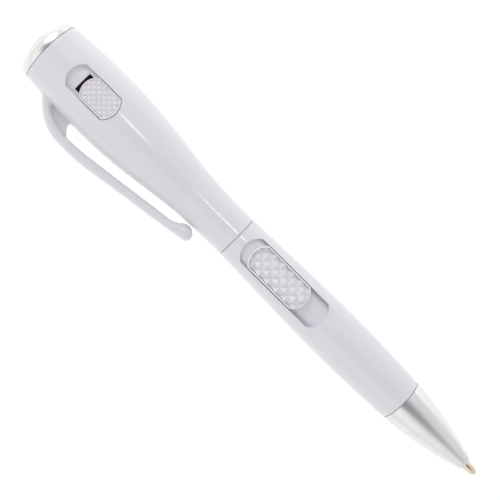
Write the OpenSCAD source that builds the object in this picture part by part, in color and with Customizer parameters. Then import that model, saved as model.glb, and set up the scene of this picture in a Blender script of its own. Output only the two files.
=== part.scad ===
// Counterfeit detector pen: an ultraviolet lamp at one end and a retractable ball point at the other.
// The axis of the pen is X. The lamp's flat face is at X = 0 and the ball point is at +X.
// Both slides are on the +Z side and the pocket clip is on the -Y side.

/* [Outline] */
// Radius of the bezel and the shell where they meet
bezel_r = 8.3; // [8.1:0.1:8.4]
// Largest radius of the upper shell
shell_r = 9; // [8.9:0.1:9.4]
// Radius of the waist, at the seam between the two halves
waist_r = 5.8; // [5.7:0.1:6]
// Largest radius of the barrel
belly_r = 6.68; // [6.6:0.02:6.9]
// Radius at the seam between the barrel and the nose cone
nose_r = 5.95; // [5.8:0.05:6.1]
// Radius of the small end of the nose cone
nose_end_r = 1.95; // [1.8:0.05:2.2]

/* [Lengths from the light end] */
// Seam between the bezel and the upper shell
bezel_x = 3.35; // [3:0.05:3.6]
// Widest place of the upper shell
shell_x = 19; // [18:0.5:20]
// Seam between the upper shell and the barrel
waist_x = 66; // [65:0.5:67]
// Widest place of the barrel
belly_x = 101; // [99:0.5:103]
// Seam between the barrel and the nose cone
nose_x = 122.7; // [122:0.1:123.5]
// Small end of the nose cone
nose_end_x = 145.4; // [145:0.1:146]
// Tip of the ball point when it is out
tip_x = 149.4; // [149.2:0.1:149.6]

/* [Lamp switch] */
// End of the switch recess nearer the light
switch_recess_x = 10.8; // [10.4:0.1:11]
// Length of the switch recess
switch_recess_l = 14.7; // [14.6:0.1:15]
// Width of the switch recess
switch_recess_w = 7.1; // [6.8:0.1:7.4]
// Length of the switch button
switch_l = 10.1; // [9.6:0.1:10.2]
// Travel of the switch button towards the light
switch_travel = 4.2; // [3.6:0.1:4.2]

/* [Thumb slide] */
// End of the slide recess nearer the light
slide_recess_x = 68.6; // [68.4:0.1:69]
// Length of the slide recess
slide_recess_l = 26.5; // [26:0.1:27]
// Width of the slide recess
slide_recess_w = 7.7; // [7.4:0.1:7.9]
// Distance from the recess's end to the slide when the point is out
slide_gap = 2.5; // [2.5:0.1:2.8]
// Length of the thumb slide
slide_l = 17.5; // [17:0.1:18]

/* [Clip] */
// Distance from the pen's axis to the clip's outer side
clip_y = 14.3; // [14.2:0.1:14.6]
// Thickness of the clip's arm
clip_t = 2.3; // [2.1:0.1:2.4]
// Width of the clip at its root
clip_w = 5; // [4.4:0.1:5.4]
// Free end of the clip
clip_end_x = 58.6; // [58:0.2:59.4]

/* [Fits] */
// Radial clearance of a plain running fit
running = 0.08; // [0.06:0.01:0.1]
// Gap round a slide in its recess
slide_play = 0.15; // [0.12:0.01:0.2]

/* [Hidden] */
round_fn = 96;
small_fn = 48;

// Shells and their bores
shell_bore = 7;
switch_floor_r = 7.8;
barrel_bore = 4.2;
slide_floor_r = 5.1;
neck_r = 4.85;
neck_l = 8;
socket_r = neck_r + running;
chamber_x = 34;
front_bore = 4.8;
front_bore_x = 97;
nose_spigot_l = 8;

// Lamp
lens_r = 4.8;
lens_t = 1.2;
reflector_x = 1.6;
board_x = 8.2;
board_t = 1;
tube_x0 = 9.4;
tube_x1 = 30.5;
tube_r = 6.4;
cell_r = 5.8;
cell_h = 5.4;
cell_x = 10.9;
cell_pitch = cell_h + 0.02;
stop_x = 31;
strip_t = 0.2;
strip_w = 3;

// Switch
switch_x = switch_recess_x + switch_recess_l - slide_play - switch_l;
switch_stem_x = switch_x + 3.9;
switch_stem_l = 2.4;
switch_stem_w = 4.7;
switch_slit_x = switch_stem_x - switch_travel - 0.5;
end_arc_r = 4.5;

// Thumb slide, carrier and latch
slide_x = slide_recess_x + slide_gap;
slide_stem_x = slide_x + 6.5;
slide_stem_l = 4.5;
slide_stem_w = 2.4;
carrier_x0 = 73;
plunger_x = 97.5;
plunger_end_x = 103;
latch_x0 = 97.2;
latch_x1 = 110;
latch_rib_r = 3;
groove_r = 3.6;
rotor_x = 105;
rotor_l = 5;
rib_count = 4;

// Refill and its spring
refill_x0 = 105.6;
refill_x1 = 129;
refill_r = 1.5;
refill_bore = 1.05;
point_r = 1.15;
spring_seat_x = 141;
point_hole_r = 1.4;

// Clip
hinge_x = 10.4;
hinge_y = -9;
hinge_r = 1.4;

// ---------------------------------------------------------------- outline of the pen

// A curve from 0 to 1 that is level at both ends
function ease(u) = u * u * u * (10 - 15 * u + 6 * u * u);

// Radius of the upper shell's outside at x
function shell_out(x) = x < shell_x
    ? shell_r - (shell_r - bezel_r) * pow((shell_x - x) / (shell_x - bezel_x), 2)
    : shell_r - (shell_r - waist_r) * ease(min(1, (x - shell_x) / (waist_x - 2 - shell_x)));

// Radius of the barrel's outside at x
function barrel_out(x) = x < belly_x
    ? waist_r + (belly_r - waist_r) * pow(sin(90 * (x - waist_x + 3) / (belly_x - waist_x + 3)), 1.55)
    : belly_r - (belly_r - nose_r) * pow((x - belly_x) / (nose_x - belly_x), 1.7);

// Radius of the nose cone's outside at x
function nose_out(x) = nose_r - (nose_r - nose_end_r) * pow((x - nose_x) / (nose_end_x - nose_x), 1.52);

// Radius of the bezel's rounded outside at x
function bezel_out(x) = 5.6 + (bezel_r - 5.6) * sqrt(1 - pow(1 - x / bezel_x, 2));

// Points [radius, x] at equal steps from a to b, for an outline given by its radii
function steps(a, b, count) = [for (i = [0:count]) a + (b - a) * i / count];

// ---------------------------------------------------------------- shared shapes

// A solid turned about the pen's axis from points [radius, x]
module turned(points) {
    rotate([0, 90, 0])
        rotate_extrude($fn = round_fn)
            polygon(points);
}

// A round rod along the pen's axis
module rod(x0, x1, r, fn = round_fn) {
    translate([x0, 0, 0])
        rotate([0, 90, 0])
            cylinder(h = x1 - x0, r = r, $fn = fn);
}

// A round tube along the pen's axis
module tube(x0, x1, r_out, r_in) {
    difference() {
        rod(x0, x1, r_out);
        rod(x0 - 1, x1 + 1, r_in);
    }
}

// Outline of a recess or a slide seen from above: straight sides and shallow round ends
module slot_outline(x, l, w) {
    arc_reach = end_arc_r - sqrt(end_arc_r * end_arc_r - w * w / 4);
    translate([x + l / 2, 0])
        intersection() {
            square([l, w], center = true);
            union() {
                square([l - 2 * arc_reach, w], center = true);
                for (side = [-1, 1])
                    translate([side * (l / 2 - end_arc_r), 0])
                        circle(r = end_arc_r, $fn = round_fn);
            }
        }
}

// Everything above a round floor, inside a recess's outline
module recess_cut(x, l, w, floor_r) {
    difference() {
        linear_extrude(height = 14)
            slot_outline(x, l, w);
        rod(x - 1, x + l + 1, floor_r);
    }
}

// A block on the +Z side of the pen, from z0 to z1
module top_block(x0, l, w, z0, z1) {
    translate([x0, -w / 2, z0])
        cube([l, w, z1 - z0]);
}

// A wire coil about the pen's axis, with 6 sides to the wire
module coil(x0, x1, r0, r1, turns, wire_r) {
    sides = 6;
    per_turn = 14;
    last = turns * per_turn;
    ring = [for (i = [0:last])
        let (u = i / last, a = 360 * turns * u, r = r0 + (r1 - r0) * u)
            for (k = [0:sides - 1])
                let (b = 360 * k / sides, q = r + wire_r * cos(b))
                    [x0 + (x1 - x0) * u + wire_r * sin(b), q * cos(a), q * sin(a)]];
    walls = [for (i = [0:last - 1])
        for (k = [0:sides - 1])
            let (n = (k + 1) % sides)
                [i * sides + k, i * sides + n, (i + 1) * sides + n, (i + 1) * sides + k]];
    start = [for (k = [0:sides - 1]) sides - 1 - k];
    finish = [for (k = [0:sides - 1]) last * sides + k];
    polyhedron(points = ring, faces = concat([start], walls, [finish]));
}

// ---------------------------------------------------------------- lamp half

// White case of the lamp half: recess for the switch, slit for its stem, groove for the clip's root
module upper_shell() {
    xs = steps(bezel_x + 0.02, waist_x - 0.02, 32);
    outside = [for (x = xs) [shell_out(x), x]];
    color("white")
        difference() {
            turned(concat([[0, xs[0]]], outside, [[0, xs[32]]]));
            rod(bezel_x - 1, chamber_x, shell_bore);
            turned([[0, chamber_x - 1], [5.8, chamber_x - 1], [5.8, chamber_x], [socket_r, 48],
                [socket_r, waist_x + 1], [0, waist_x + 1]]);
            recess_cut(switch_recess_x, switch_recess_l, switch_recess_w, switch_floor_r);
            top_block(switch_slit_x, switch_travel + switch_stem_l + 0.8, switch_stem_w + 0.3, 5, 9);
            clip_groove();
        }
}

// Groove in the shell that the clip's root turns in
module clip_groove() {
    translate([hinge_x, hinge_y, -clip_w / 2 - 0.1])
        cylinder(h = clip_w + 0.2, r = hinge_r + running, $fn = small_fn);
}

// Distance of the clip's outer side from the axis, from its root at u = 0 to the top of its bend at u = 1
function clip_rise(u) = clip_y - 4.9 * pow(1 - u, 2.2);

// Side view of the clip: bent arm, round free end and foot
module clip_side() {
    bend = [for (u = steps(0, 1, 10)) [hinge_x - 1.1 + 11.2 * u, -clip_rise(u)]];
    outside = [[26, -clip_y], [28.8, 0.35 - clip_y], [clip_end_x - 1.5, -10]];
    inside = [[clip_end_x - 1.5, -7.9], [28.6, 0.35 + clip_t - clip_y], [25, clip_t - clip_y],
        [20, clip_t - clip_y], [17.4, clip_t + 0.25 - clip_y], [15, clip_t + 1.15 - clip_y],
        [12.8, clip_t + 2.5 - clip_y], [11.8, -9.1]];
    polygon(concat(bend, outside, inside));
    translate([clip_end_x - 1.5, -8.85])
        circle(r = 1.15, $fn = small_fn);
    translate([clip_end_x - 3, -7.85])
        circle(r = 1.6, $fn = small_fn);
    translate([hinge_x, hinge_y])
        circle(r = hinge_r, $fn = small_fn);
}

// Side view of the gusset web in the corner between the arm and the shell, with a hollow free edge
module clip_web_side() {
    difference() {
        polygon([[hinge_x + 0.6, -9.2], [20.6, -9.2], [20.6, clip_t + 0.2 - clip_y], [17.4, clip_t - clip_y],
            [12.4, -11]]);
        translate([22.3, clip_t + 1.35 - clip_y])
            circle(r = 2.3, $fn = small_fn);
    }
}

// Pocket clip, a little narrower towards its free end
module clip() {
    web_t = 2.4;
    taper = 0.6;
    half = clip_w / 2;
    color("white") {
        intersection() {
            translate([0, 0, -half])
                linear_extrude(height = clip_w)
                    clip_side();
            rotate([90, 0, 0])
                linear_extrude(height = 20)
                    polygon([[6, -half], [30, -half], [clip_end_x + 1, taper - half],
                        [clip_end_x + 1, half - taper], [30, half], [6, half]]);
        }
        translate([0, 0, -web_t / 2])
            linear_extrude(height = web_t)
                clip_web_side();
    }
}

// Silver ring that closes the light end, with a spigot into the shell
module bezel() {
    xs = steps(0, bezel_x - 0.1, 8);
    outside = [for (x = xs) [bezel_out(x), x]];
    color("silver")
        difference() {
            union() {
                turned(concat([[0, 0]], outside, [[0, bezel_x - 0.1]]));
                rod(1, 7.6, shell_bore - running);
            }
            rod(-1, 3, lens_r);
            rod(lens_t + 0.2, 9, 6.2);
        }
}

// Clear window, flush with the bezel's face
module lens() {
    color("lightcyan", 0.5)
        rod(0, lens_t, lens_r - 0.03);
}

// Bright cone round the lamp, hollowed at the back for the resistor
module reflector() {
    color("gainsboro")
        difference() {
            rod(reflector_x, board_x - 0.05, 6.1);
            turned([[0, reflector_x - 1], [5.6, reflector_x - 1], [5.6, reflector_x], [3, 6],
                [3, board_x - 0.9], [5.2, board_x - 0.9], [5.2, 9], [0, 9]]);
        }
}

// Five millimetre ultraviolet lamp with its flange
module uv_led() {
    color("plum", 0.8) {
        rod(4.9, 7.2, 2.5, small_fn);
        rod(7.2, board_x - 0.02, 2.9, small_fn);
        translate([4.9, 0, 0])
            sphere(r = 2.5, $fn = small_fn);
    }
}

// Round circuit board with a hole for each leg's rivet
module led_board() {
    color("darkgreen")
        difference() {
            rod(board_x, board_x + board_t, 6.3);
            for (side = [-1, 1])
                translate([0, side * 1.27, 0])
                    rod(board_x - 1, board_x + board_t + 1, 0.4, 24);
        }
}

// Series resistor on the lamp side of the board
module led_resistor() {
    color("black")
        translate([board_x - 0.6, 3.1, -1])
            cube([0.58, 1.2, 2]);
}

// Thin plastic tube that lines up the cells, with a bore for each end
module battery_tube() {
    color("ivory")
        difference() {
            tube(tube_x0, tube_x1, tube_r, cell_r + 0.15);
            top_block(tube_x1 - 2.2, 4, strip_w + 0.4, 5, 8);
        }
}

// One button cell: can, and the smaller raised cap of the other pole
module cell(x) {
    color("silver") {
        rod(x, x + cell_h - 0.4, cell_r);
        rod(x + cell_h - 0.4, x + cell_h, cell_r - 0.9);
    }
}

module cell_1() cell(cell_x);

module cell_2() cell(cell_x + cell_pitch);

module cell_3() cell(cell_x + 2 * cell_pitch);

// Conical spring that presses the cells forward
module battery_spring() {
    color("gold")
        coil(cell_x + 3 * cell_pitch + 0.3, stop_x - 0.3, 2.4, 4.8, 3, 0.25);
}

// Disc that closes the battery space and seats the spring
module battery_stop() {
    color("ivory")
        tube(stop_x, chamber_x - 0.3, shell_bore - 0.02, 1.5);
}

// Metal strip from the board to the front end of the switch
module front_contact() {
    color("goldenrod")
        difference() {
            top_block(board_x + board_t + 0.02, 7.4, strip_w, tube_r - 0.4, tube_r + strip_t);
            rod(0, 40, tube_r + 0.01);
        }
}

// Metal strip from the spring's seat forward to the switch, bent down behind the tube
module rear_contact() {
    color("goldenrod")
        union() {
            difference() {
                top_block(switch_stem_x - 0.6, stop_x + 0.58 - switch_stem_x, strip_w, tube_r - 0.4,
                    tube_r + strip_t);
                rod(0, tube_x1 + 0.02, tube_r + 0.01);
            }
            top_block(stop_x - 0.22, 0.2, strip_w, 3.4, tube_r + strip_t);
        }
}

// White slide button of the lamp, with a stem through the slit
module lamp_switch() {
    color("white") {
        intersection() {
            recess_cut(switch_x, switch_l, switch_recess_w - 2 * slide_play, switch_floor_r + 0.08);
            turned([[0, 5], [shell_r - 0.05, 5], [shell_r + 0.1, shell_x], [shell_r, 30], [0, 30]]);
        }
        top_block(switch_stem_x, switch_stem_l, switch_stem_w, 6.84, switch_floor_r + 0.4);
    }
}

// Springy bridge under the switch that joins the two strips
module switch_wiper() {
    color("goldenrod")
        top_block(switch_stem_x - 1.3, switch_stem_l + 2.6, strip_w - 0.4, 6.62, 6.82);
}

// ---------------------------------------------------------------- writing half

// White case of the writing half, with a neck that goes into the upper shell
module barrel() {
    xs = steps(waist_x, nose_x - 0.02, 28);
    outside = [for (x = xs) [barrel_out(x), x]];
    color("white")
        difference() {
            union() {
                turned(concat([[0, waist_x]], outside, [[0, nose_x - 0.02]]));
                rod(waist_x - neck_l, waist_x + 1, neck_r);
            }
            rod(waist_x - neck_l - 1, nose_x + 1, barrel_bore);
            rod(front_bore_x, nose_x + 1, front_bore);
            recess_cut(slide_recess_x, slide_recess_l, slide_recess_w, slide_floor_r);
            top_block(slide_stem_x - 2.7, slide_stem_l + 4, slide_stem_w + 0.3, 3, 6);
        }
}

// White thumb slide with staggered blunt pyramids and a stem through the slit
module thumb_slide() {
    sink = 0.75;
    half_pitch = 1.5;
    row_angle = 14;
    xs = steps(slide_x - 1, slide_x + slide_l + 1, 6);
    lowered = [for (x = xs) [barrel_out(x) - sink, x]];
    color("white") {
        intersection() {
            recess_cut(slide_x, slide_l, slide_recess_w - 2 * slide_play, slide_floor_r + 0.08);
            turned(concat([[0, xs[0]]], lowered, [[0, xs[6]]]));
        }
        for (i = [-4:4])
            for (j = [-1:1])
                if ((i + j) % 2 == 0)
                    let (x = slide_x + slide_l / 2 + i * half_pitch)
                        rotate([-j * row_angle, 0, 0])
                            translate([x, 0, barrel_out(x) - sink - 0.1])
                                cylinder(h = sink + 0.2, r1 = 1.5, r2 = 0.3, $fn = 4);
        top_block(slide_stem_x, slide_stem_l, slide_stem_w, 3.4, slide_floor_r + 0.4);
    }
}

// Splines that run in the latch's grooves
module splines(x0, x1, r, w, turn) {
    intersection() {
        for (i = [0:rib_count - 1])
            rotate([turn + 360 * i / rib_count, 0, 0])
                translate([x0, -w / 2, 2.4])
                    cube([x1 - x0, w, r - 1.4]);
        rod(x0 - 1, x1 + 1, r);
    }
}

// Tube under the thumb slide, with a splined plunger that pushes the latch
module slide_carrier() {
    color("whitesmoke")
        difference() {
            union() {
                rod(carrier_x0, plunger_x - 1.2, barrel_bore - running);
                rod(plunger_x - 1.4, plunger_end_x, latch_rib_r - 0.15);
                splines(plunger_x, plunger_end_x, groove_r - 0.15, 1.3, 45);
            }
            rod(carrier_x0 - 1, plunger_end_x + 1, 1.9);
            top_block(slide_stem_x - 0.02, slide_stem_l + 0.04, slide_stem_w + 0.04, 1, 6);
        }
}

// Sleeve fixed in the barrel, whose ribs leave grooves for the plunger and the rotor
module latch_sleeve() {
    color("lightgray")
        union() {
            tube(latch_x0, latch_x1, front_bore - 0.02, groove_r);
            difference() {
                splines(latch_x0 + 0.8, latch_x1 - 2, groove_r + 0.4, 2.2, 0);
                rod(latch_x0, latch_x1, latch_rib_r);
            }
        }
}

// Rotor on the refill's rear end
module latch_rotor() {
    color("lightgray")
        difference() {
            union() {
                rod(rotor_x, rotor_x + rotor_l, latch_rib_r - 0.15);
                splines(rotor_x + 0.6, rotor_x + rotor_l - 1.2, groove_r - 0.15, 1.3, 45);
            }
            rod(refill_x0 - 0.02, rotor_x + rotor_l + 1, refill_r + 0.02);
        }
}

// Clear tube of the refill
module refill_tube() {
    color("white", 0.6)
        tube(refill_x0, refill_x1, refill_r, refill_bore);
}

// Column of ink
module ink() {
    color("black")
        rod(refill_x0 + 5, refill_x1 - 4.1, refill_bore - 0.02, small_fn);
}

// Brass point: plug in the tube, long shank, and the taper to the ball's socket
module writing_point() {
    color("goldenrod")
        difference() {
            turned([[0, refill_x1 - 4], [refill_bore - 0.02, refill_x1 - 4], [refill_bore - 0.02, refill_x1 + 0.02],
                [point_r + 0.1, refill_x1 + 0.02], [point_r + 0.1, tip_x - 3.1], [1, tip_x - 1.3],
                [0.48, tip_x - 0.35], [0.36, tip_x - 0.2], [0, tip_x - 0.2]]);
            rod(refill_x1 - 5, tip_x - 1.4, 0.3, 24);
            translate([tip_x - 0.35, 0, 0])
                sphere(r = 0.37, $fn = 32);
        }
}

// Hard ball that rolls in the point's socket
module writing_ball() {
    color("silver")
        translate([tip_x - 0.35, 0, 0])
            sphere(r = 0.35, $fn = 32);
}

// Spring that draws the refill back
module return_spring() {
    color("silver")
        coil(refill_x1 + 0.3, spring_seat_x - 0.3, 1.58, 1.58, 8, 0.17);
}

// Silver nose cone with a spigot into the barrel and a seat for the spring
module nose_cone() {
    xs = steps(nose_x + 0.08, nose_end_x - 0.35, 16);
    outside = [for (x = xs) [nose_out(x), x]];
    color("silver")
        difference() {
            union() {
                turned(concat([[0, nose_x + 0.08]], outside,
                    [[nose_end_r - 0.08, nose_end_x - 0.12], [nose_end_r - 0.3, nose_end_x], [0, nose_end_x]]));
                rod(nose_x - nose_spigot_l, nose_x + 2, front_bore - running);
            }
            turned([[0, nose_x - nose_spigot_l - 1], [4, nose_x - nose_spigot_l - 1], [4, nose_x], [2, nose_x + 4],
                [2, spring_seat_x], [0, spring_seat_x]]);
            rod(nose_x, nose_end_x + 1, point_hole_r);
        }
}

upper_shell();
clip();
bezel();
lens();
reflector();
uv_led();
led_board();
led_resistor();
battery_tube();
cell_1();
cell_2();
cell_3();
battery_spring();
battery_stop();
front_contact();
rear_contact();
lamp_switch();
switch_wiper();
barrel();
thumb_slide();
slide_carrier();
latch_sleeve();
latch_rotor();
refill_tube();
ink();
writing_point();
writing_ball();
return_spring();
nose_cone();
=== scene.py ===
import math

import bmesh
import bpy
import numpy as np
from mathutils import Matrix, Vector


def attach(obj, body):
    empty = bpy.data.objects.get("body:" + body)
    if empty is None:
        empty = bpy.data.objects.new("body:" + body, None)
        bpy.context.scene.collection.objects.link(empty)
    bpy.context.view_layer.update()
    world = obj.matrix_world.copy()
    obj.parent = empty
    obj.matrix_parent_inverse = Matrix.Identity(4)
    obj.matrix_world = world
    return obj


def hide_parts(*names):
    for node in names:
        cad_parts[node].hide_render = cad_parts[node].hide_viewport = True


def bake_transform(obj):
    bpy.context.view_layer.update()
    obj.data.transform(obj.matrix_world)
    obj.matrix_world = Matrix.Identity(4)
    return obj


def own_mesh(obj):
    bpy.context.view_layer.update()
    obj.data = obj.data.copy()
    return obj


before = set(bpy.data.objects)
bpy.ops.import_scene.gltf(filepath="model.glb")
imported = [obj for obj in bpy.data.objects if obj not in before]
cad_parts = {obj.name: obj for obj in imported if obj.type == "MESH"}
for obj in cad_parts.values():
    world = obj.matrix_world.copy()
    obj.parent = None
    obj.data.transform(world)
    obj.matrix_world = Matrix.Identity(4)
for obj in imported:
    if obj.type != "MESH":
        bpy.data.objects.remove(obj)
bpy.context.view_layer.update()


# The table, the tent and the camera.
# A backlit sheet of white acrylic lies well under the pen, inside a white tent. A grey cloth round
# the lens darkens what faces it, and a strip lamp and a low one draw the thin bright lines.
MM = 0.001


def to_linear(hex_colour):
    """An sRGB hex colour as the linear red, green and blue that a shader takes."""
    channels = [int(hex_colour[i:i + 2], 16) / 255 for i in (0, 2, 4)]
    return [c / 12.92 if c <= 0.04045 else ((c + 0.055) / 1.055) ** 2.4 for c in channels]


def rgba(hex_colour):
    """The same colour with an alpha of one."""
    return (*to_linear(hex_colour), 1.0)


def add_node(tree, kind, settings=None, values=None, links=None):
    """Adds a node to a tree, with its settings, its input values and what its inputs are linked to."""
    node = tree.nodes.new(kind)
    for name, value in (settings or {}).items():
        setattr(node, name, value)
    for name, value in (values or {}).items():
        node.inputs[name].default_value = value
    for name, socket in (links or {}).items():
        tree.links.new(socket, node.inputs[name])
    return node


table_drop = 60 * MM
table_half = 1.6
table_mesh = bpy.data.meshes.new("table")
corners = [(-1, -1), (1, -1), (1, 1), (-1, 1)]
table_points = [(x * table_half, y * table_half, -table_drop) for x, y in corners]
table_mesh.from_pydata(table_points, [], [(0, 1, 2, 3)])
table = bpy.data.objects.new("table", table_mesh)
bpy.context.collection.objects.link(table)

# Opal acrylic sheet lit from behind: even, matt and just white
opal = bpy.data.materials.new("backlit_opal_acrylic")
opal.use_nodes = True
shader = opal.node_tree.nodes["Principled BSDF"]
shader.inputs["Base Color"].default_value = rgba("f4f4f4")
shader.inputs["Roughness"].default_value = 0.6
shader.inputs["Emission Color"].default_value = rgba("ffffff")
shader.inputs["Emission Strength"].default_value = 0.3
table_mesh.materials.append(opal)

tent = bpy.data.worlds.new("white_tent")
tent.use_nodes = True
bpy.context.scene.world = tent
tree = tent.node_tree
tree.nodes.clear()
direction = add_node(tree, "ShaderNodeTexCoord")
# The gap overhead that the lens looks through is long and lies along the pen
drawn_out = add_node(tree, "ShaderNodeVectorMath", {"operation": "MULTIPLY"},
                     {1: (0.5, 1.0, 1.0)}, {0: direction.outputs["Generated"]})
evened = add_node(tree, "ShaderNodeVectorMath", {"operation": "NORMALIZE"}, None,
                  {0: drawn_out.outputs["Vector"]})
toward_lens = add_node(tree, "ShaderNodeVectorMath", {"operation": "DOT_PRODUCT"},
                       {1: (0.0, -0.01, 1.0)}, {0: evened.outputs["Vector"]})
cloth = add_node(tree, "ShaderNodeValToRGB", None, None, {"Fac": toward_lens.outputs["Value"]})
ramp = cloth.color_ramp
ramp.interpolation = "EASE"
ramp.elements[0].position = 0.0
ramp.elements[0].color = rgba("e4e4e2")
ramp.elements[1].position = 0.99
ramp.elements[1].color = rgba("848188")
for stop, colour in ((0.42, "fcfcfb"), (0.82, "f5f6fb")):
    ramp.elements.new(stop).color = rgba(colour)
# The tent is brighter on the clip's side, so facets that face that way stand out from the rest
toward_key = add_node(tree, "ShaderNodeVectorMath", {"operation": "DOT_PRODUCT"},
                      {1: (-0.3, -0.8, 0.5)}, {0: direction.outputs["Generated"]})
key = add_node(tree, "ShaderNodeMapRange", {"interpolation_type": "SMOOTHSTEP"},
               {"From Min": 0.0, "From Max": 1.0, "To Min": 0.84, "To Max": 1.12},
               {"Value": toward_key.outputs["Value"]})
sky = add_node(tree, "ShaderNodeBackground", None, None,
               {"Color": cloth.outputs["Color"], "Strength": key.outputs["Result"]})
add_node(tree, "ShaderNodeOutputWorld", None, None, {"Surface": sky.outputs["Background"]})

middle = Vector((70.6 * MM, 0, 0))


def add_lamp(name, place, size_x, size_y, power):
    """A flat soft lamp at a place in metres, aimed at the pen's middle, with its power in watts."""
    data = bpy.data.lights.new(name, "AREA")
    data.shape = "RECTANGLE"
    data.size = size_x
    data.size_y = size_y
    data.energy = power
    lamp = bpy.data.objects.new(name, data)
    bpy.context.collection.objects.link(lamp)
    lamp.location = place
    lamp.rotation_euler = (middle - Vector(place)).to_track_quat("-Z", "Y").to_euler()


add_lamp("strip_lamp", (0.114, 0.337, 1.45), 0.24, 0.02, 1.1)
add_lamp("low_lamp", (0.07, 1.2, 0.12), 1.6, 0.08, 0.8)
add_lamp("head_lamp", (-0.55, 0.36, 0.42), 0.45, 0.45, 1.5)

# A long lens about 27 cm above the pen, turned so that the pen runs down the diagonal
camera_data = bpy.data.cameras.new("camera")
camera_data.lens = 81.2
camera_data.sensor_width = 36
camera_data.clip_start = 0.01
camera = bpy.data.objects.new("camera", camera_data)
bpy.context.collection.objects.link(camera)
bpy.context.scene.camera = camera
pen_turn = math.radians(44.75)
camera.location = (54.1 * MM, -12 * MM, 273.7 * MM)
back = (camera.location - middle).normalized()
across = Vector((math.cos(pen_turn), math.sin(pen_turn), 0))
up = back.cross(across).normalized()
across = up.cross(back).normalized()
camera.rotation_mode = "QUATERNION"
camera.rotation_quaternion = Matrix((across, up, back)).transposed().to_quaternion()
bpy.context.scene.view_settings.view_transform = "Standard"


# Upper shell.
# The white case of the lamp half is moulded in one piece of glossy ABS. Its recess for the switch has
# a curved floor and round ends, and a slit in the floor lets the switch's stem through to the contacts.
def moulded_plastic(name, pale, deep, roughness, cloud_mm=7.0, grain_mm=0.35, bump_mm=0.004, coat=0.0):
    """Moulded plastic: faint clouds in its colour and gloss, and a very fine unevenness."""
    material = bpy.data.materials.new(name)
    material.use_nodes = True
    tree = material.node_tree
    shader = tree.nodes["Principled BSDF"]
    place = add_node(tree, "ShaderNodeTexCoord")
    cloud = add_node(tree, "ShaderNodeTexNoise", None, {"Scale": 1 / (cloud_mm * MM), "Detail": 3.0},
                     {"Vector": place.outputs["Object"]})
    tint = add_node(tree, "ShaderNodeMix", {"data_type": "RGBA"}, {6: rgba(pale), 7: rgba(deep)},
                    {0: cloud.outputs["Fac"]})
    gloss = add_node(tree, "ShaderNodeMapRange", None,
                     {"To Min": roughness * 0.8, "To Max": roughness * 1.25},
                     {"Value": cloud.outputs["Fac"]})
    grain = add_node(tree, "ShaderNodeTexNoise", None, {"Scale": 1 / (grain_mm * MM), "Detail": 2.0},
                     {"Vector": place.outputs["Object"]})
    relief = add_node(tree, "ShaderNodeBump", None, {"Strength": 0.5, "Distance": bump_mm * MM},
                      {"Height": grain.outputs["Fac"]})
    tree.links.new(tint.outputs[2], shader.inputs["Base Color"])
    tree.links.new(gloss.outputs["Result"], shader.inputs["Roughness"])
    tree.links.new(relief.outputs["Normal"], shader.inputs["Normal"])
    shader.inputs["IOR"].default_value = 1.53
    shader.inputs["Coat Weight"].default_value = coat
    shader.inputs["Coat Roughness"].default_value = 0.05
    return material


def finish_mesh(name, body, points, faces, material, sharp_degrees=38, stands_for=(),
                lining=None):
    """Closes and smooths a mesh given in millimetres, and puts it on its body. A lining is a second
    material with the number of its first face and of its last."""
    mesh = bpy.data.meshes.new(name)
    mesh.from_pydata([tuple(float(c) * MM for c in p) for p in points], [], faces)
    mesh.materials.append(material)
    if lining:
        mesh.materials.append(lining[0])
        for polygon in mesh.polygons[lining[1]:lining[2]]:
            polygon.material_index = 1
    work = bmesh.new()
    work.from_mesh(mesh)
    weld = 0.4e-6
    bmesh.ops.remove_doubles(work, verts=work.verts, dist=weld)
    bmesh.ops.dissolve_degenerate(work, edges=work.edges, dist=weld)
    bmesh.ops.recalc_face_normals(work, faces=work.faces)
    work.to_mesh(mesh)
    work.free()
    for polygon in mesh.polygons:
        polygon.use_smooth = True
    mesh.set_sharp_from_angle(angle=math.radians(sharp_degrees))
    piece = bpy.data.objects.new(name, mesh)
    bpy.context.collection.objects.link(piece)
    if body:
        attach(piece, body)
    if stands_for:
        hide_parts(*stands_for)
    return piece


def slot_ring(low_x, length, width, along, across, grow=0.0, end_r=4.5):
    """Points round a slot with straight sides and round ends, widened by a margin."""
    half = width / 2 + grow
    radius = end_r + grow
    reach = end_r - math.sqrt(radius ** 2 - half ** 2)
    swing = math.asin(half / radius)
    first = low_x + reach
    last = low_x + length - reach
    points = [(first + (last - first) * i / along, -half) for i in range(along)]
    for i in range(across):
        turn = -swing + 2 * swing * i / across
        points.append((low_x + length - end_r + radius * math.cos(turn), radius * math.sin(turn)))
    return points + [(2 * low_x + length - x, -y) for x, y in points]


def block_ring(low_x, length, width, along, across, grow=0.0):
    """Points round a rectangle, in the same order and number as a slot's."""
    first = low_x - grow
    last = low_x + length + grow
    half = width / 2 + grow
    points = [(first + (last - first) * i / along, -half) for i in range(along)]
    points += [(last, -half + 2 * half * i / across) for i in range(across)]
    return points + [(first + last - x, -y) for x, y in points]


def between(ring_a, ring_b, share):
    """A ring part of the way from one ring to another."""
    return [tuple(a + (b - a) * share for a, b in zip(p, q)) for p, q in zip(ring_a, ring_b)]


def on_round(ring, radius_at, lift=0.0):
    """Raises a flat ring to the top of a round surface whose radius changes along the pen."""
    return [(x, y, math.sqrt(max(radius_at(x) ** 2 - y * y, 0)) + lift) for x, y in ring]


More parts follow.
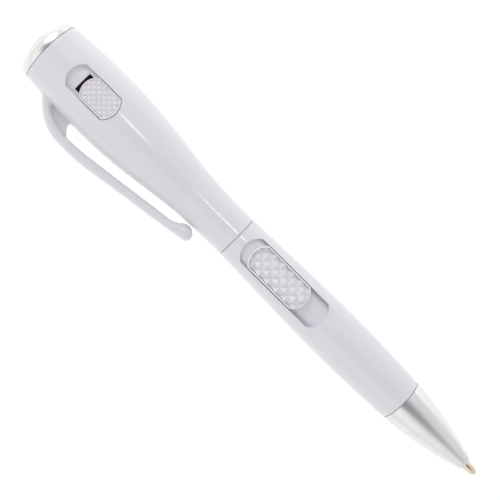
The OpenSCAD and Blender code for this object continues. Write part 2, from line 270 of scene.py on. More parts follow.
def turned_wall(outer, inner, columns, window=None):
    """Points and faces of a turned wall: outer rows from end to end, then inner rows back again.
    A window (first and last x, half its width in columns, and the rings that line it) opens its top."""
    rows = outer + inner
    points = []
    for x, r in rows:
        for j in range(columns):
            turn = 2 * math.pi * j / columns
            points.append((x, r * math.sin(turn), r * math.cos(turn)))
    at = lambda p, j: (p % len(rows)) * columns + j % columns
    cut_outer = []
    cut_inner = []
    if window:
        low, high, half, rings = window
        inside = [low - 1e-6 < x < high + 1e-6 for x, r in rows]
        cut_outer = [p for p in range(len(outer)) if inside[p]]
        cut_inner = [p for p in range(len(outer), len(rows)) if inside[p]][::-1]
    faces = []
    for p in range(len(rows)):
        gap = (p in cut_outer and p + 1 in cut_outer) or (p in cut_inner and p + 1 in cut_inner)
        for j in range(columns):
            if gap and (j < half or j >= columns - half):
                continue
            faces.append((at(p, j), at(p + 1, j), at(p + 1, j + 1), at(p, j + 1)))
    if window:
        loops = []
        for cut in (cut_outer, cut_inner):
            loop = [at(p, -half) for p in cut[:-1]]
            loop += [at(cut[-1], j) for j in range(-half, half)]
            loop += [at(p, half) for p in cut[:0:-1]]
            loop += [at(cut[0], j) for j in range(half, -half, -1)]
            loops.append(loop)
        stack = [loops[0]]
        for ring in rings:
            stack.append(list(range(len(points), len(points) + len(ring))))
            points += ring
        stack.append(loops[1])
        for above, below in zip(stack, stack[1:]):
            count = len(above)
            for i in range(count):
                n = (i + 1) % count
                faces.append((above[i], above[n], below[n], below[i]))
    return points, faces


def window_loop(xs, half, columns, radius_at):
    """The flat loop of a window's edge, in the order in which turned_wall walks round it."""
    step = 2 * math.pi / columns
    side = lambda x, j: (x, radius_at(x) * math.sin(j * step))
    loop = [side(x, -half) for x in xs[:-1]]
    loop += [side(xs[-1], j) for j in range(-half, half)]
    loop += [side(x, half) for x in xs[:0:-1]]
    loop += [side(xs[0], j) for j in range(half, -half, -1)]
    return loop


def recess_rings(xs, half, columns, outside, floor_r, recess, slit, bore_at, lip=0.16, toe=0.12):
    """The lining of a recess: rounded lip, upright wall, curved floor, and a slit down to the bore."""
    along = len(xs) - 1
    across = 2 * half
    floor_at = lambda x: floor_r
    edge = window_loop(xs, half, columns, outside)
    brim = slot_ring(*recess, along, across, lip)
    rings = [on_round(between(edge, brim, s), outside) for s in (0.34, 0.68, 0.9)]
    for step in range(6):
        turn = math.pi / 2 * step / 5
        rings.append(on_round(slot_ring(*recess, along, across, lip * (1 - math.sin(turn))), outside,
                              -lip * (1 - math.cos(turn))))
    wall = slot_ring(*recess, along, across)
    top = on_round(wall, outside, -lip)
    foot = on_round(wall, floor_at, toe)
    rings += [between(top, foot, s) for s in (0.33, 0.67)]
    for step in range(5):
        turn = math.pi / 2 * step / 4
        rings.append(on_round(slot_ring(*recess, along, across, -toe * (1 - math.cos(turn))), floor_at,
                              toe * (1 - math.sin(turn))))
    inner = slot_ring(*recess, along, across, -toe)
    mouth = block_ring(*slit, along, across, 0.06)
    rings += [on_round(between(inner, mouth, s), floor_at) for s in (0.3, 0.6, 0.85, 1.0)]
    throat = block_ring(*slit, along, across)
    rings.append(on_round(throat, floor_at, -0.06))
    rings.append(on_round(throat, bore_at))
    return rings


def ease(u):
    """A smooth step from 0 to 1 that is flat at both ends."""
    return u ** 3 * (10 - 15 * u + 6 * u * u)


# Places along the pen and radii, in millimetres
bezel_x = 3.35
bezel_r = 8.3
shell_x = 19.0
shell_r = 9.0
waist_x = 66.0
waist_r = 5.8
lamp_bore = 7.0
socket_r = 4.93
# Each recess and slit: its low end, its length and its width
switch_recess = (10.8, 14.7, 7.1)
switch_slit = (14.45, 7.4, 5.0)
switch_floor_r = 7.8
# The window cut in the grid for the recess, a little larger than the recess itself
switch_window = (10.0, 26.3)
# The glossy lip round a recess is the first nine strips of its lining, and all below them is matt and
# painted a little darker, as painted shade
lip_strips = 9


def shell_out(x):
    """Radius of the upper shell: a drum that swells a little, then sweeps in to the waist."""
    if x < shell_x:
        return shell_r - (shell_r - bezel_r) * ((shell_x - x) / (shell_x - bezel_x)) ** 2
    return shell_r - (shell_r - waist_r) * ease(min(1, (x - shell_x) / (waist_x - 2 - shell_x)))


def lamp_bore_at(x):
    """Radius of the upper shell's bore."""
    return lamp_bore if x < 34 else max(socket_r, 5.8 - 0.87 * (x - 34) / 14)


def steps(first, last, count):
    """Evenly spaced values, both ends included."""
    return [first + (last - first) * i / count for i in range(count + 1)]


columns = 160
window_xs = steps(*switch_window, 36)
half = 14
first_x = bezel_x + 0.02
last_x = waist_x - 0.05
chamfer = 0.1
outer = [(first_x, shell_out(first_x) - chamfer), (first_x + 0.03, shell_out(first_x) - 0.03)]
outer += [(x, shell_out(x)) for x in steps(first_x + chamfer, switch_window[0] - 0.45, 14) + window_xs]
outer += [(x, shell_out(x)) for x in steps(26.7, last_x - 0.12, 90)]
outer += [(last_x - 0.05, waist_r - 0.03), (last_x, waist_r - 0.25)]
inner = [(last_x, socket_r + 0.1), (last_x - 0.1, socket_r), (48, socket_r)]
inner += [(34.01, 5.8), (34, lamp_bore)]
inner += [(x, lamp_bore) for x in (30, 27)] + [(x, lamp_bore) for x in window_xs[::-1]]
inner += [(6, lamp_bore), (first_x + 0.1, lamp_bore), (first_x, lamp_bore + 0.1)]
rings = recess_rings(window_xs, half, columns, shell_out, switch_floor_r, switch_recess, switch_slit,
                     lamp_bore_at)
points, faces = turned_wall(outer, inner, columns, (*switch_window, half, rings))
# Glossy white ABS, with the faint lavender cast of a cool white masterbatch
white_abs = moulded_plastic("glossy_white_abs", "e8e8eb", "e4e4e7", 0.16)
# The walls and floors of the recesses are spark-textured in the mould, so they are softer than the rest;
# their colour is also a little darker than the case's, which is painted shade in the recesses
matt_abs_painted_shade = moulded_plastic("spark_textured_white_abs_with_painted_shade", "e6e6ea", "e1e1e6", 0.45, 5.0, 0.12, 0.006)
floor_faces = (matt_abs_painted_shade, len(faces) - len(rings[0]) * (len(rings) + 1 - lip_strips), len(faces))
finish_mesh("upper_shell_case", "lamp_case", points, faces, white_abs, 38,
            ["upper_shell"], floor_faces)


# Pocket clip.
# An oval arm moulded in one with the upper shell. A thin web
# stiffens the corner behind the arm, and a rounded foot under the free end rests against the case.
def smooth_path(stations, fine):
    """Catmull-Rom values between the stations of a table, with so many steps to each interval."""
    table = np.array(stations, float)
    padded = np.vstack([2 * table[0] - table[1], table, 2 * table[-1] - table[-2]])
    rows = []
    for i in range(len(table) - 1):
        a, b, c, d = padded[i:i + 4]
        for step in range(fine):
            t = step / fine
            rows.append(0.5 * (2 * b + (c - a) * t + (2 * a - 5 * b + 4 * c - d) * t * t
                               + (3 * b - a - 3 * c + d) * t ** 3))
    return rows + [table[-1]]


# Each station: outer edge along and out, inner edge along and out, half the width
clip_stations = [
    (8.3, 8.2, 13.5, 8.2, 2.9),
    (8.9, 8.85, 12.75, 8.9, 2.7),
    (9.7, 9.7, 12.9, 9.45, 2.52),
    (10.9, 10.85, 13.7, 10.1, 2.5),
    (12.5, 12.15, 14.9, 10.7, 2.5),
    (14.7, 13.35, 16.5, 11.3, 2.5),
    (17.6, 14.22, 18.6, 11.75, 2.5),
    (21.0, 14.45, 21.2, 11.85, 2.5),
    (24.9, 14.46, 24.7, 11.7, 2.5),
    (29.0, 14.05, 28.7, 11.25, 2.5),
    (38.0, 12.7, 37.7, 10.15, 2.5),
    (47.0, 11.45, 46.7, 8.95, 2.5),
    (52.2, 10.68, 51.9, 8.25, 2.5),
    (53.6, 10.46, 53.4, 7.6, 2.5),
    (55.1, 10.22, 55.0, 6.5, 2.46),
    (56.6, 9.96, 56.5, 6.25, 2.35),
    (57.7, 9.6, 57.6, 6.75, 2.05),
    (58.3, 9.1, 58.25, 7.4, 1.5),
    (58.45, 8.6, 58.43, 8.0, 0.8),
]
sides = 40
squareness = 2.5
points = []
for outer_x, outer_y, inner_x, inner_y, half_width in smooth_path(clip_stations, 6):
    for k in range(sides):
        turn = 2 * math.pi * k / sides
        out = math.copysign(abs(math.cos(turn)) ** (2 / squareness), math.cos(turn))
        wide = math.copysign(abs(math.sin(turn)) ** (2 / squareness), math.sin(turn))
        x = (outer_x + inner_x) / 2 + out * (outer_x - inner_x) / 2
        y = -(outer_y + inner_y) / 2 - out * (outer_y - inner_y) / 2
        z = wide * half_width
        reach = math.hypot(y, z)
        least = shell_out(x) + 0.02
        if reach < least and x < 20:
            y = y * least / reach
            z = z * least / reach
        points.append((x, y, z))
rows = len(points) // sides
faces = []
for r in range(rows - 1):
    for k in range(sides):
        n = (k + 1) % sides
        faces.append((r * sides + k, r * sides + n, (r + 1) * sides + n, (r + 1) * sides + k))
faces += [tuple(range(sides)), tuple((rows - 1) * sides + k for k in range(sides))]

# The web: a flat plate in the corner, with a hollow free edge and rounded corners to it
web_half = 1.0
web_round = 0.25
hollow_x = 21.5
hollow_y = 9.0
hollow_r = 3.1
hollow = [(hollow_x - hollow_r * math.cos(a), hollow_y - hollow_r * math.sin(a))
          for a in np.linspace(-1.35, 0.2, 16)]
web_outline = [(11.6, 8.2), (18.6, 8.2)] + hollow[::-1]
web_outline += [(20.4, 12.9), (16.9, 12.3), (13.6, 10.9), (11.6, 9.6)]
start = len(points)
layers = [(-web_half, web_round), (web_round - web_half, 0)]
layers += [(web_half - web_round, 0), (web_half, web_round)]
for z, inset in layers:
    for x, y in web_outline:
        points.append((x - (inset if x > 19 else 0), -y, z))
count = len(web_outline)
for layer in range(3):
    for k in range(count):
        n = (k + 1) % count
        low = start + layer * count
        faces.append((low + k, low + n, low + count + n, low + count + k))
faces += [tuple(range(start, start + count)), tuple(range(start + 3 * count, start + 4 * count))]
clip = finish_mesh("clip_arm", None, points, faces, white_abs, 40, ["clip"])
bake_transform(clip)


# Bezel ring and nose cone.
# Both are ABS with a satin silver plating. The bezel screws into the lamp end and holds the window;
# the nose cone screws into the barrel and its seat carries the refill's spring.
def satin_metal(name, colour, shade, roughness, grain_mm=0.12, bump_mm=0.003, brushed=0.0):
    """Metal or plating with a fine grain: faint clouds in colour and gloss, and a very fine relief."""
    material = bpy.data.materials.new(name)
    material.use_nodes = True
    tree = material.node_tree
    shader = tree.nodes["Principled BSDF"]
    shader.inputs["Metallic"].default_value = 1.0
    place = add_node(tree, "ShaderNodeTexCoord")
    stretch = add_node(tree, "ShaderNodeMapping", None, {"Scale": (1 - brushed * 0.9, 1.0, 1.0)},
                       {"Vector": place.outputs["Object"]})
    cloud = add_node(tree, "ShaderNodeTexNoise", None, {"Scale": 1 / (5.0 * MM), "Detail": 3.0},
                     {"Vector": place.outputs["Object"]})
    tint = add_node(tree, "ShaderNodeMix", {"data_type": "RGBA"}, {6: rgba(colour), 7: rgba(shade)},
                    {0: cloud.outputs["Fac"]})
    gloss = add_node(tree, "ShaderNodeMapRange", None,
                     {"To Min": roughness * 0.85, "To Max": roughness * 1.15},
                     {"Value": cloud.outputs["Fac"]})
    grain = add_node(tree, "ShaderNodeTexNoise", None, {"Scale": 1 / (grain_mm * MM), "Detail": 2.0},
                     {"Vector": stretch.outputs["Vector"]})
    relief = add_node(tree, "ShaderNodeBump", None, {"Strength": 0.6, "Distance": bump_mm * MM},
                      {"Height": grain.outputs["Fac"]})
    tree.links.new(tint.outputs[2], shader.inputs["Base Color"])
    tree.links.new(gloss.outputs["Result"], shader.inputs["Roughness"])
    tree.links.new(relief.outputs["Normal"], shader.inputs["Normal"])
    return material


# Satin silver plating: a soft sheen that takes a broad dark band from whatever is overhead
satin_silver = satin_metal("satin_silver_plating", "efedeb", "e8e6e4", 0.3)


bezel_face_r = 5.6


def bezel_out(x):
    """Radius of the bezel ring: a quarter of an oval from its face back to the case."""
    return bezel_face_r + (bezel_r - bezel_face_r) * math.sqrt(max(0, 1 - (1 - x / bezel_x) ** 2))


bezel_back = bezel_x - 0.08
bezel_tip = 0.3
outer = [(bezel_tip + 0.04, 4.8), (bezel_tip, 4.84), (bezel_tip, 5.3), (bezel_tip, bezel_face_r)]
for turn in np.linspace(0.1, 1.5, 26):
    reach = bezel_x * (1 - math.cos(turn))
    outer.append((bezel_tip + reach * (bezel_x - bezel_tip) / bezel_x, bezel_out(reach)))
outer += [(bezel_back - 0.03, bezel_r), (bezel_back, bezel_r - 0.06), (bezel_back, 7.0)]
outer += [(bezel_back, 6.92), (7.5, 6.92), (7.6, 6.82)]
inner = [(7.6, 6.2), (1.4, 6.2), (1.4, 4.8)]
points, faces = turned_wall(outer, inner, columns)
finish_mesh("bezel_ring", "bezel", points, faces, satin_silver, 38, ["bezel"])

nose_x = 122.7
nose_r = 5.95
nose_end_x = 145.4
nose_end_r = 1.95
nose_face = nose_x + 0.08
nose_tip = nose_end_x + 0.22


def nose_out(x):
    """Radius of the nose cone, which curves in towards the point."""
    return nose_r - (nose_r - nose_end_r) * ((x - nose_x) / (nose_end_x - nose_x)) ** 1.52


outer = [(nose_x - 8, 4.5), (nose_x - 7.8, 4.72), (nose_face, 4.72), (nose_face, nose_r - 0.006)]
outer += [(x, nose_out(x)) for x in steps(nose_face + 0.12, nose_end_x - 0.35, 60)]
outer += [(nose_end_x - 0.12, nose_end_r), (nose_end_x + 0.08, nose_end_r - 0.1)]
outer += [(nose_tip, nose_end_r - 0.35)]
inner = [(nose_tip, 1.45), (nose_end_x + 0.1, 1.4), (141, 1.4), (141, 2)]
inner += [(nose_x + 4, 2), (nose_x, 4), (nose_x - 8, 4)]
points, faces = turned_wall(outer, inner, columns)
finish_mesh("nose_cone_shell", "nose", points, faces, satin_silver, 38, ["nose_cone"])


# Barrel.
# The white case of the writing half, moulded in the same ABS. A neck goes into the upper shell, and a
# long recess with a curved floor takes the thumb slide, with a slit down to the mechanism.
belly_x = 101.0
belly_r = 6.68
slide_recess = (68.6, 26.5, 7.7)
slide_slit = (74.9, 8.5, 2.7)
slide_floor_r = 5.1
slide_window = (67.9, 95.8)
barrel_bore = 4.2
neck_r = 4.85


def barrel_out(x):
    """Radius of the barrel, which swells from the waist to the belly and falls away to the nose."""
    if x < belly_x:
        rise = math.sin(math.pi / 2 * (x - waist_x + 3) / (belly_x - waist_x + 3))
        return waist_r + (belly_r - waist_r) * max(rise, 0) ** 1.55
    return belly_r - (belly_r - nose_r) * ((x - belly_x) / (nose_x - belly_x)) ** 1.7


def barrel_bore_at(x):
    """Radius of the barrel's bore, wider in front for the latch and the nose cone."""
    return barrel_bore if x < 97 else 4.8


window_xs = steps(*slide_window, 62)
half = 22
first_x = waist_x + 0.02
last_x = nose_x - 0.02
outer = [(58.0, 4.6), (58.25, neck_r), (first_x, neck_r), (first_x, waist_r - 0.25)]
outer += [(first_x + 0.05, waist_r - 0.02)]
outer += [(x, barrel_out(x)) for x in steps(first_x + 0.15, 67.45, 4) + window_xs]
outer += [(x, barrel_out(x)) for x in steps(96.25, last_x - 0.15, 60)]
outer += [(last_x - 0.04, nose_r - 0.02), (last_x, nose_r - 0.1)]
inner = [(last_x, 4.8), (97.02, 4.8), (97, barrel_bore)]
inner += [(x, barrel_bore) for x in window_xs[::-1]] + [(62, barrel_bore), (58, barrel_bore)]
rings = recess_rings(window_xs, half, columns, barrel_out, slide_floor_r, slide_recess, slide_slit,
                     barrel_bore_at)
points, faces = turned_wall(outer, inner, columns, (*slide_window, half, rings))
# The recess lining takes the matt finish, painted a little darker as shade
floor_faces = (matt_abs_painted_shade, len(faces) - len(rings[0]) * (len(rings) + 1 - lip_strips), len(faces))
finish_mesh("barrel_case", "barrel", points, faces, white_abs, 38, ["barrel"],
            floor_faces)


# Thumb slide and lamp switch.
# White sliding buttons moulded in satin acetal, with blunt pyramids for grip. The thumb slide has a
# smooth rim round its field; the smaller switch is knurled to its edge. Each has a stem in its slit.
def knurl_tree():
    """Pyramids on a lattice at 45 degrees, wrapped on a round surface and cut to the field's prism."""
    tree = bpy.data.node_groups.new("knurl_field", "GeometryNodeTree")
    face = tree.interface
    face.new_socket("Field", in_out="INPUT", socket_type="NodeSocketGeometry")
    for name in ("Spacing", "Height", "Skirt", "Tip", "Middle", "Radius", "Slope"):
        face.new_socket(name, in_out="INPUT", socket_type="NodeSocketFloat")
    face.new_socket("Count", in_out="INPUT", socket_type="NodeSocketInt")
    face.new_socket("Finish", in_out="INPUT", socket_type="NodeSocketMaterial")
    face.new_socket("Field", in_out="OUTPUT", socket_type="NodeSocketGeometry")
    given = add_node(tree, "NodeGroupInput").outputs

    def maths(kind, a, b):
        """One step of arithmetic on two values or sockets."""
        node = add_node(tree, "ShaderNodeMath", {"operation": kind})
        for index, part in enumerate((a, b)):
            if isinstance(part, (int, float)):
                node.inputs[index].default_value = part
            else:
                tree.links.new(part, node.inputs[index])
        return node.outputs[0]

    side = maths("MULTIPLY", given["Spacing"], maths("SUBTRACT", given["Count"], 1))
    lattice = add_node(tree, "GeometryNodeMeshGrid", None, None, {
        "Size X": side, "Size Y": side, "Vertices X": given["Count"], "Vertices Y": given["Count"]})
    shift = add_node(tree, "ShaderNodeCombineXYZ", None, None, {"X": given["Middle"]})
    laid = add_node(tree, "GeometryNodeTransform", None, {"Rotation": (0, 0, math.pi / 4)},
                    {"Geometry": lattice.outputs["Mesh"], "Translation": shift.outputs[0]})
    base_r = maths("DIVIDE", given["Spacing"], math.sqrt(2))
    grown = maths("DIVIDE", maths("ADD", given["Height"], given["Skirt"]), given["Height"])
    spare_r = maths("SUBTRACT", base_r, given["Tip"])
    foot_r = maths("ADD", given["Tip"], maths("MULTIPLY", spare_r, grown))
    pyramid = add_node(tree, "GeometryNodeMeshCone", None, {"Vertices": 4}, {
        "Radius Top": given["Tip"], "Radius Bottom": foot_r,
        "Depth": maths("ADD", given["Height"], given["Skirt"])})
    sunk = add_node(tree, "ShaderNodeCombineXYZ", None, None,
                    {"Z": maths("MULTIPLY", given["Skirt"], -1)})
    lowered = add_node(tree, "GeometryNodeTransform", None, None,
                       {"Geometry": pyramid.outputs["Mesh"], "Translation": sunk.outputs[0]})
    spread = add_node(tree, "GeometryNodeInstanceOnPoints", None, None,
                      {"Points": laid.outputs["Geometry"], "Instance": lowered.outputs["Geometry"]})
    solid = add_node(tree, "GeometryNodeRealizeInstances", None, None,
                     {"Geometry": spread.outputs["Instances"]})
    place = add_node(tree, "GeometryNodeInputPosition")
    part = add_node(tree, "ShaderNodeSeparateXYZ", None, None, {0: place.outputs[0]})
    along = maths("MULTIPLY", given["Slope"], maths("SUBTRACT", part.outputs["X"], given["Middle"]))
    base = maths("ADD", given["Radius"], along)
    turn = maths("DIVIDE", part.outputs["Y"], base)
    height = maths("ADD", base, part.outputs["Z"])
    wrapped = add_node(tree, "ShaderNodeCombineXYZ", None, None, {
        "X": part.outputs["X"], "Y": maths("MULTIPLY", height, maths("SINE", turn, 0)),
        "Z": maths("MULTIPLY", height, maths("COSINE", turn, 0))})
    bent = add_node(tree, "GeometryNodeSetPosition", None, None,
                    {"Geometry": solid.outputs["Geometry"], "Position": wrapped.outputs[0]})
    cut = add_node(tree, "GeometryNodeMeshBoolean", {"operation": "INTERSECT", "solver": "EXACT"},
                   {"Self Intersection": True})
    tree.links.new(bent.outputs["Geometry"], cut.inputs["Mesh 2"])
    tree.links.new(given["Field"], cut.inputs["Mesh 2"])
    whole = add_node(tree, "GeometryNodeRealizeInstances", None, None, {"Geometry": cut.outputs["Mesh"]})
    painted = add_node(tree, "GeometryNodeSetMaterial", None, None,
                       {"Geometry": whole.outputs["Geometry"], "Material": given["Finish"]})
    add_node(tree, "NodeGroupOutput", None, None, {"Field": painted.outputs["Geometry"]})
    return tree


knurl = knurl_tree()


def ring_walls(stack, points, faces):
    """Joins rings of the same number of points with walls, and adds their points."""
    start = len(points)
    count = len(stack[0])
    for ring in stack:
        points += ring
    for layer in range(len(stack) - 1):
        for k in range(count):
            n = (k + 1) % count
            low = start + layer * count
            faces.append((low + k, low + n, low + count + n, low + count + k))


def slide_button(name, body, plan, radius_at, floor_r, rim, depth, spacing, phase, tip_drop, stem,
                 material):
    """A sliding button: a pad with round ends, a knurled field that follows the case, and a stem.
    The phase is the place of the lattice's middle along the pen, and the drop is how far the
    pyramids' tips stand below the case."""
    low_x, length, width = plan
    along = 60
    across = 28
    spine = [(min(max(x, low_x + width / 2), low_x + length - width / 2), 0.0)
             for x, y in slot_ring(*plan, along, across)]
    ring = lambda grow: slot_ring(*plan, along, across, grow)
    foot_at = lambda x: floor_r + 0.08
    lip = 0.14
    stack = [on_round(between(ring(0), spine, s), foot_at) for s in (1.0, 0.6, 0.25)]
    stack.append(on_round(ring(0), foot_at))
    for turn in np.linspace(0, math.pi / 2, 5):
        stack.append(on_round(ring(-lip * (1 - math.cos(turn))), radius_at,
                              -tip_drop - lip * (1 - math.sin(turn))))
    if rim:
        stack.append(on_round(ring(-rim), radius_at, -tip_drop + 0.12))
        stack.append(on_round(ring(-rim - 0.03), radius_at, -tip_drop + 0.09))
        stack.append(on_round(ring(-rim - 0.05), radius_at, -tip_drop - depth))
    field = ring(-rim - 0.02) if rim else ring(-0.02)
    valley = -tip_drop - depth
    stack += [on_round(between(field, spine, s), radius_at, valley) for s in (0.12, 0.5, 0.8, 1.0)]
    points = []
    faces = []
    ring_walls(stack, points, faces)
    stem_x, stem_l, stem_w, stem_low = stem
    box = [(stem_x + i * stem_l, (j - 0.5) * stem_w) for i, j in ((0, 0), (1, 0), (1, 1), (0, 1))]
    start = len(points)
    ring_walls([[(x, y, z) for x, y in box] for z in (stem_low, floor_r + 0.3)], points, faces)
    faces += [tuple(range(start, start + 4)), tuple(range(start + 4, start + 8))]
    pad = finish_mesh(name, body, points, faces, material, 38)

    prism = bpy.data.meshes.new(name + "_field")
    count = len(field)
    # The prism starts a little below the lowest valley at the sides, so that no gap shows under it
    prism_low = math.sqrt(radius_at(low_x) ** 2 - (width / 2) ** 2) - depth - tip_drop - 0.3
    prism_high = 12
    verts = [(x * MM, y * MM, z * MM) for z in (prism_low, prism_high) for x, y in field]
    walls = [(k, (k + 1) % count, count + (k + 1) % count, count + k) for k in range(count)]
    prism.from_pydata(verts, [], walls + [tuple(range(count))[::-1], tuple(range(count, 2 * count))])
    holder = bpy.data.objects.new(name + "_field", prism)
    bpy.context.collection.objects.link(holder)
    modifier = holder.modifiers.new("knurl", "NODES")
    modifier.node_group = knurl
    ends = (radius_at(low_x), radius_at(low_x + length))
    slope = (ends[1] - ends[0]) / length
    values = {"Spacing": spacing * MM, "Height": depth * MM, "Skirt": 0.3 * MM, "Tip": 0.09 * MM,
              "Middle": phase * MM, "Radius": (radius_at(phase) - tip_drop - depth) * MM, "Slope": slope,
              "Count": 2 * int((length + width + 3) / spacing / 2.83) + 3, "Finish": material}
    for item in knurl.interface.items_tree:
        if item.in_out == "INPUT" and item.name in values:
            modifier[item.identifier] = values[item.name]
    graph = bpy.context.evaluated_depsgraph_get()
    made = bpy.data.meshes.new_from_object(holder.evaluated_get(graph))
    bpy.data.objects.remove(holder)
    for polygon in made.polygons:
        polygon.use_smooth = False
    work = bmesh.new()
    work.from_mesh(pad.data)
    work.from_mesh(made)
    work.to_mesh(pad.data)
    work.free()
    return pad


# Satin white acetal: a slightly warmer white than the case, with a soft sheen on each facet
white_acetal = moulded_plastic("satin_white_acetal", "eeebef", "e7e3e9", 0.2, 3.0, 0.2, 0.005)
thumb_plan = (slide_recess[0] + 2.4, 17.8, slide_recess[2] - 0.36)
thumb = slide_button("thumb_slide_button", "thumb_slide", thumb_plan, barrel_out, slide_floor_r,
                     rim=0.36, depth=0.78, spacing=2.08, phase=78.68, tip_drop=0.0,
                     stem=(77.6, 4.5, 2.4, 3.4), material=white_acetal)
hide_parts("thumb_slide")
switch_plan = (switch_recess[0] + switch_recess[1] - 0.15 - 10.1, 10.1, switch_recess[2] - 0.34)
switch = slide_button("lamp_switch_button", "lamp_switch", switch_plan, shell_out, switch_floor_r,
                      rim=0.0, depth=0.44, spacing=1.18, phase=20.2, tip_drop=-0.06,
                      stem=(19.15, 2.4, 4.7, 6.84), material=white_acetal)
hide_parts("lamp_switch")


# Refill's point.
# Turned brass with a short taper and a rolled rim that holds the ball. It is pressed into the plastic
# tube of the refill and slides out through the nose cone.
brass = satin_metal("turned_brass", "f0e4d0", "e0d0b2", 0.18, 0.05, 0.002, 1.0)
outer = [(125.0, 0.95), (125.1, 1.03), (129.02, 1.03), (129.02, 1.25), (146.2, 1.25)]
outer += [(146.6, 1.23), (147.1, 1.17), (147.7, 1.08), (148.2, 0.99), (148.6, 0.85)]
outer += [(148.9, 0.67), (149.1, 0.5), (149.2, 0.38)]
inner = [(149.2, 0.3), (148.0, 0.3), (125.0, 0.3)]
points, faces = turned_wall(outer, inner, 64)
finish_mesh("brass_point", "refill", points, faces, brass, 35, ["writing_point"])


# Lamp.
# A clear acrylic window is pressed in the bezel. Behind it stand a bright metallised cone, a lamp in
# violet-tinted epoxy, and a round board of green fibreglass with a black resistor.
def finish_nodes(material, slot, *names):
    """Gives bare frame pieces their real finish."""
    for name in names:
        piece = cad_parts[name]
        piece.data.materials.clear()
        piece.data.materials.append(material)


def clear_plastic(name, tint, roughness, ior):
    """Clear moulded plastic: light passes through, with faint ripples and a little haze."""
    material = moulded_plastic(name, tint, tint, roughness, 4.0, 1.5, 0.004)
    shader = material.node_tree.nodes["Principled BSDF"]
    shader.inputs["Transmission Weight"].default_value = 0.95
    shader.inputs["IOR"].default_value = ior
    return material


finish_nodes(clear_plastic("clear_cast_acrylic", "f6fbfc", 0.03, 1.49), "clear_window", "lens")
finish_nodes(clear_plastic("violet_lamp_epoxy", "ded2f2", 0.05, 1.54), "lamp_epoxy", "uv_led")
finish_nodes(satin_metal("vacuum_metallised_cone", "e6e6e8", "dcdce0", 0.1),
             "bright_reflector", "reflector")
finish_nodes(moulded_plastic("green_fibreglass_board", "2f6b45", "27593a", 0.35, 1.2, 0.15, 0.01),
             "circuit_board", "led_board")
finish_nodes(moulded_plastic("black_resistor_ceramic", "26262a", "1c1c1f", 0.5, 0.6, 0.05, 0.004),
             "resistor_body", "led_resistor")


# Cells and contacts.
# Three button cells stand in a black acetal sleeve, pressed forward by a conical spring on a natural
# acetal disc. Strips of phosphor bronze, dulled by handling, lead from both ends to the switch.
nickel = satin_metal("nickel_plated_steel", "cfcdc8", "c2bfb9", 0.22, 0.08)
natural_acetal = moulded_plastic("natural_acetal", "f1eee6", "e9e5da", 0.38, 5.0, 0.2, 0.006)
black_acetal = moulded_plastic("black_acetal", "1b1b1d", "141416", 0.42, 3.0, 0.15, 0.005)
bronze = satin_metal("dulled_phosphor_bronze", "4a3423", "38281c", 0.42, 0.06)
finish_nodes(nickel, "cell_can", "cell_1", "cell_2", "cell_3")
finish_nodes(black_acetal, "natural_plastic", "battery_tube")
finish_nodes(natural_acetal, "natural_plastic",
             "battery_stop", "slide_carrier", "latch_sleeve", "latch_rotor")
finish_nodes(bronze, "contact_brass", "front_contact", "rear_contact", "switch_wiper")


# Springs.
# Both are wound from round steel wire: a cone of three turns behind the cells, and a long light coil
# round the refill that draws it back. Each stands for its bare frame piece.
def coil_tree():
    """A round wire wound about the pen's axis, whose radius may change from end to end."""
    tree = bpy.data.node_groups.new("wire_coil", "GeometryNodeTree")
    face = tree.interface
    for name in ("First X", "Length", "First Radius", "Last Radius", "Turns", "Wire Radius"):
        face.new_socket(name, in_out="INPUT", socket_type="NodeSocketFloat")
    face.new_socket("Finish", in_out="INPUT", socket_type="NodeSocketMaterial")
    face.new_socket("Coil", in_out="OUTPUT", socket_type="NodeSocketGeometry")
    given = add_node(tree, "NodeGroupInput").outputs
    spiral = add_node(tree, "GeometryNodeCurveSpiral", None, {"Resolution": 40}, {
        "Rotations": given["Turns"], "Height": given["Length"],
        "Start Radius": given["First Radius"], "End Radius": given["Last Radius"]})
    wire = add_node(tree, "GeometryNodeCurvePrimitiveCircle", None, {"Resolution": 12},
                    {"Radius": given["Wire Radius"]})
    wound = add_node(tree, "GeometryNodeCurveToMesh", None, {"Fill Caps": True},
                     {"Curve": spiral.outputs["Curve"], "Profile Curve": wire.outputs["Curve"]})
    shift = add_node(tree, "ShaderNodeCombineXYZ", None, None, {"X": given["First X"]})
    laid = add_node(tree, "GeometryNodeTransform", None, {"Rotation": (0, math.pi / 2, 0)},
                    {"Geometry": wound.outputs["Mesh"], "Translation": shift.outputs[0]})
    whole = add_node(tree, "GeometryNodeRealizeInstances", None, None,
                     {"Geometry": laid.outputs["Geometry"]})
    painted = add_node(tree, "GeometryNodeSetMaterial", None, None,
                       {"Geometry": whole.outputs["Geometry"], "Material": given["Finish"]})
    add_node(tree, "NodeGroupOutput", None, None, {"Coil": painted.outputs["Geometry"]})
    return tree


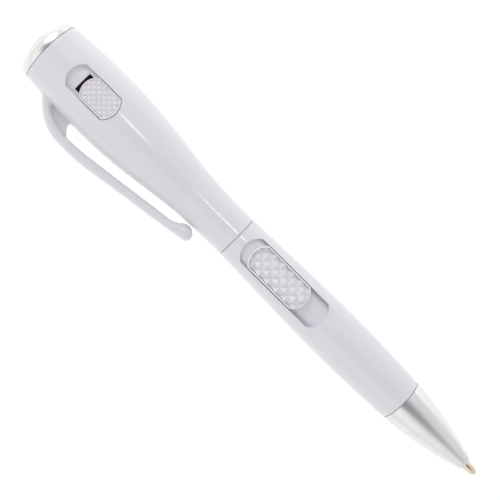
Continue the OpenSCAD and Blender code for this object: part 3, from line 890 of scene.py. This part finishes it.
winding = coil_tree()
spring_steel = satin_metal("drawn_spring_steel", "b9b7b4", "aaa7a3", 0.25, 0.05, 0.002, 1.0)


def wind_spring(name, body, node, first_x, last_x, first_r, last_r, turns, wire_r):
    """Winds one spring, puts it on its body and gives it back."""
    holder = bpy.data.objects.new(name, bpy.data.meshes.new(name))
    bpy.context.collection.objects.link(holder)
    modifier = holder.modifiers.new("winding", "NODES")
    modifier.node_group = winding
    values = {"First X": first_x * MM, "Length": (last_x - first_x) * MM,
              "First Radius": first_r * MM, "Last Radius": last_r * MM, "Turns": turns,
              "Wire Radius": wire_r * MM, "Finish": spring_steel}
    for item in winding.interface.items_tree:
        if item.in_out == "INPUT":
            modifier[item.identifier] = values[item.name]
    graph = bpy.context.evaluated_depsgraph_get()
    made = bpy.data.meshes.new_from_object(holder.evaluated_get(graph))
    holder.modifiers.clear()
    holder.data = made
    work = bmesh.new()
    work.from_mesh(made)
    bmesh.ops.recalc_face_normals(work, faces=work.faces)
    work.to_mesh(made)
    work.free()
    for polygon in made.polygons:
        polygon.use_smooth = True
    made.set_sharp_from_angle(angle=math.radians(40))
    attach(holder, body)
    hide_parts(node)
    return holder


wind_spring("battery_spring_coil", "lamp_case", "battery_spring", 27.5, 30.7, 2.4, 4.8, 3.0, 0.25)
return_spring_coil = wind_spring("return_spring_coil", "nose", "return_spring",
                                 129.3, 140.7, 1.6, 1.6, 8.0, 0.16)
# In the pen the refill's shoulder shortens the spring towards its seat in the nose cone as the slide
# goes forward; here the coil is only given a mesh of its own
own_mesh(return_spring_coil)


# Refill.
# A translucent polypropylene tube with a column of black ink, and a ball of tungsten carbide that
# rolls in the point's rim.
tube_plastic = clear_plastic("translucent_polypropylene", "f2f2ee", 0.35, 1.49)
tube_plastic.node_tree.nodes["Principled BSDF"].inputs["Transmission Weight"].default_value = 0.6
finish_nodes(tube_plastic, "refill_plastic", "refill_tube")
finish_nodes(moulded_plastic("black_ink", "0c0c10", "08080b", 0.2, 2.0, 0.4, 0.002), "ink_black", "ink")
finish_nodes(satin_metal("tungsten_carbide", "8f8f94", "838388", 0.15, 0.05),
             "ball_carbide", "writing_ball")
